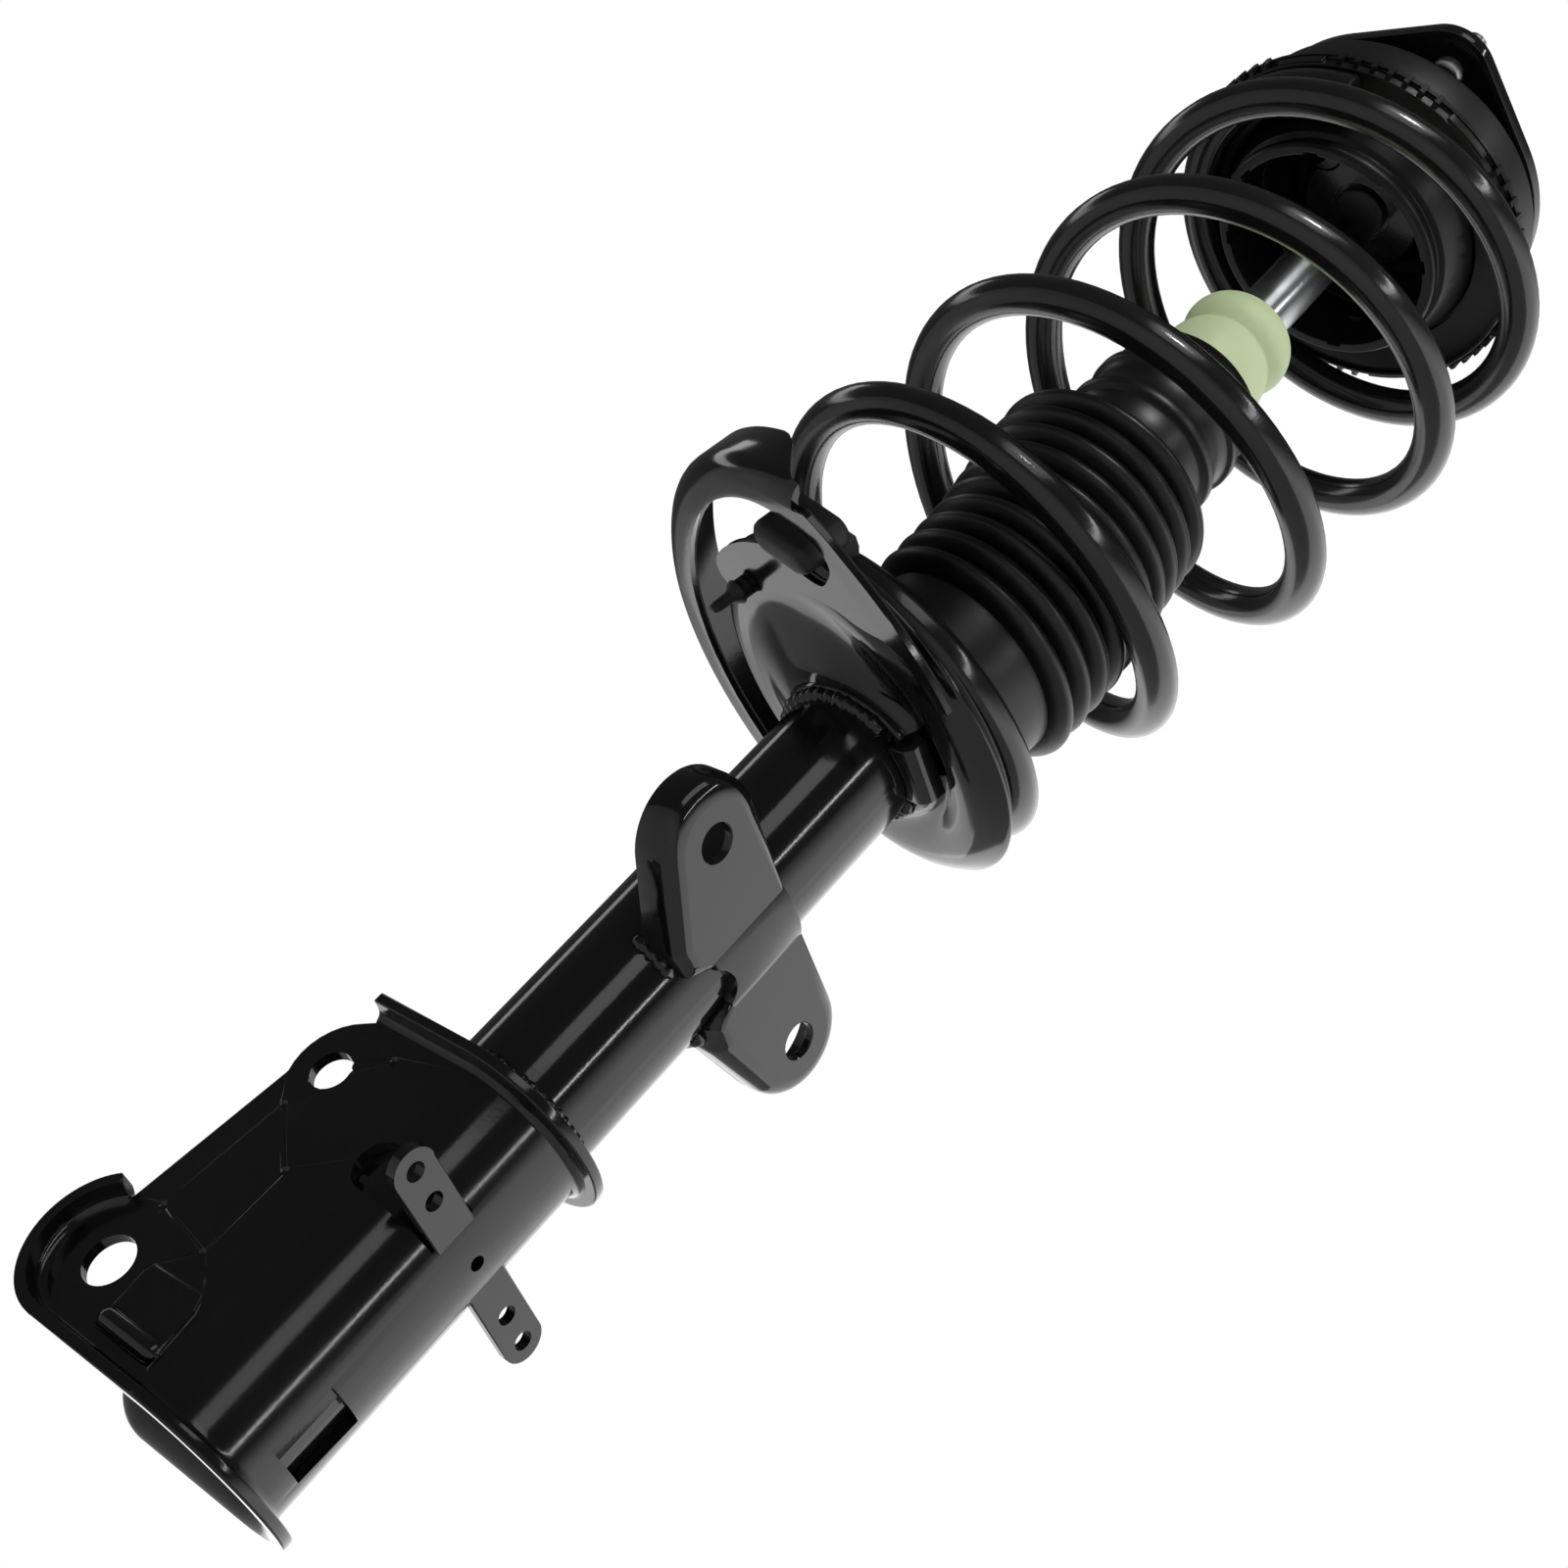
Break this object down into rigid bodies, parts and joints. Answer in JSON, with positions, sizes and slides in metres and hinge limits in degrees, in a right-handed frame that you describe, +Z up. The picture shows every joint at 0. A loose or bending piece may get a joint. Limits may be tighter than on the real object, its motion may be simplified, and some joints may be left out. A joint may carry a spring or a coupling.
{
  "type": "suspension strut assembly",
  "caption": "Front suspension strut: twin-tube damper with a side-load coil spring on a tilted seat, dust boot, bearing top mount with studs, and a clevis bracket for the wheel knuckle.",
  "frame": {"origin": "centre of the tower studs' circle on the mount plate's top seating face", "axes": "+Z up along the damper's axis, towards the body of the vehicle; +X outboard, towards the wheel knuckle; Y along the knuckle bolts"},
  "size_m": [0.2104, 0.2088, 0.7045],
  "materials": {
    "gloss_black_paint": "gloss black stoving paint over pressed steel",
    "spring_coat": "gloss black powder coat over the wound wire",
    "rod_chrome": "ground and polished hard chrome",
    "zinc_plate": "clear zinc plated",
    "bearing_steel": "ground steel",
    "inner_steel": "drawn and turned steel, oiled",
    "sintered_steel": "sintered iron",
    "satin_plastic": "satin black glass-filled plastic",
    "seal_plastic": "filled slide-bearing plastic",
    "black_rubber": "moulded black rubber",
    "boot_rubber": "thin satin black moulding",
    "stop_foam": "pale green cellular urethane"
  },
  "bodies": {
    "mount": {"mount_plate": "gloss_black_paint", "mount_studs": "zinc_plate", "mount_cup": "gloss_black_paint", "mount_rubber": "black_rubber", "mount_core": "inner_steel", "rod_washer": "zinc_plate", "rod_nut": "zinc_plate", "bearing_cover": "satin_plastic", "bearing_upper_race": "bearing_steel", "piston_rod": "rod_chrome", "piston": "sintered_steel", "piston_band": "seal_plastic", "valve_shims": "inner_steel", "piston_nut": "inner_steel", "rebound_stop": "black_rubber"},
    "cage": {"bearing_balls": "bearing_steel", "ball_cage": "satin_plastic"},
    "spring_seat": {"bearing_lower_race": "bearing_steel", "upper_spring_seat": "satin_plastic", "upper_isolator": "black_rubber", "coil_spring": "spring_coat"},
    "damper": {"strut_tube": "gloss_black_paint", "tube_base": "gloss_black_paint", "pressure_tube": "inner_steel", "foot_valve": "sintered_steel", "rod_guide": "sintered_steel", "rod_seal": "black_rubber", "striker_cap": "gloss_black_paint", "bump_stop": "stop_foam", "dust_boot": "boot_rubber", "lower_spring_seat": "gloss_black_paint", "spring_guard": "gloss_black_paint", "lower_isolator": "black_rubber", "seat_gusset": "gloss_black_paint", "sway_bracket": "gloss_black_paint", "knuckle_bracket": "gloss_black_paint", "weld_beads": "gloss_black_paint"}
  },
  "joints": [
    {"name": "bearing_turn", "type": "hinge", "parent": "mount", "child": "spring_seat", "pos_m": [0, 0, 0], "axis": [0, 0, 1], "range_deg": [-40, 40]},
    {"name": "cage_roll", "type": "hinge", "parent": "mount", "child": "cage", "pos_m": [0, 0, 0], "axis": [0, 0, 1], "range_deg": [-20, 20]},
    {"name": "damper_stroke", "type": "slide", "parent": "spring_seat", "child": "damper", "axis": [0, 0, 1], "range_m": [0, 0.11], "stiffness_N_per_m": 25000, "springref_m": -0.06, "deforming": ["coil_spring", "bump_stop"]}
  ],
  "couplings": [
    {"joint": "cage_roll", "follows": "bearing_turn", "ratio": 0.5}
  ]
}
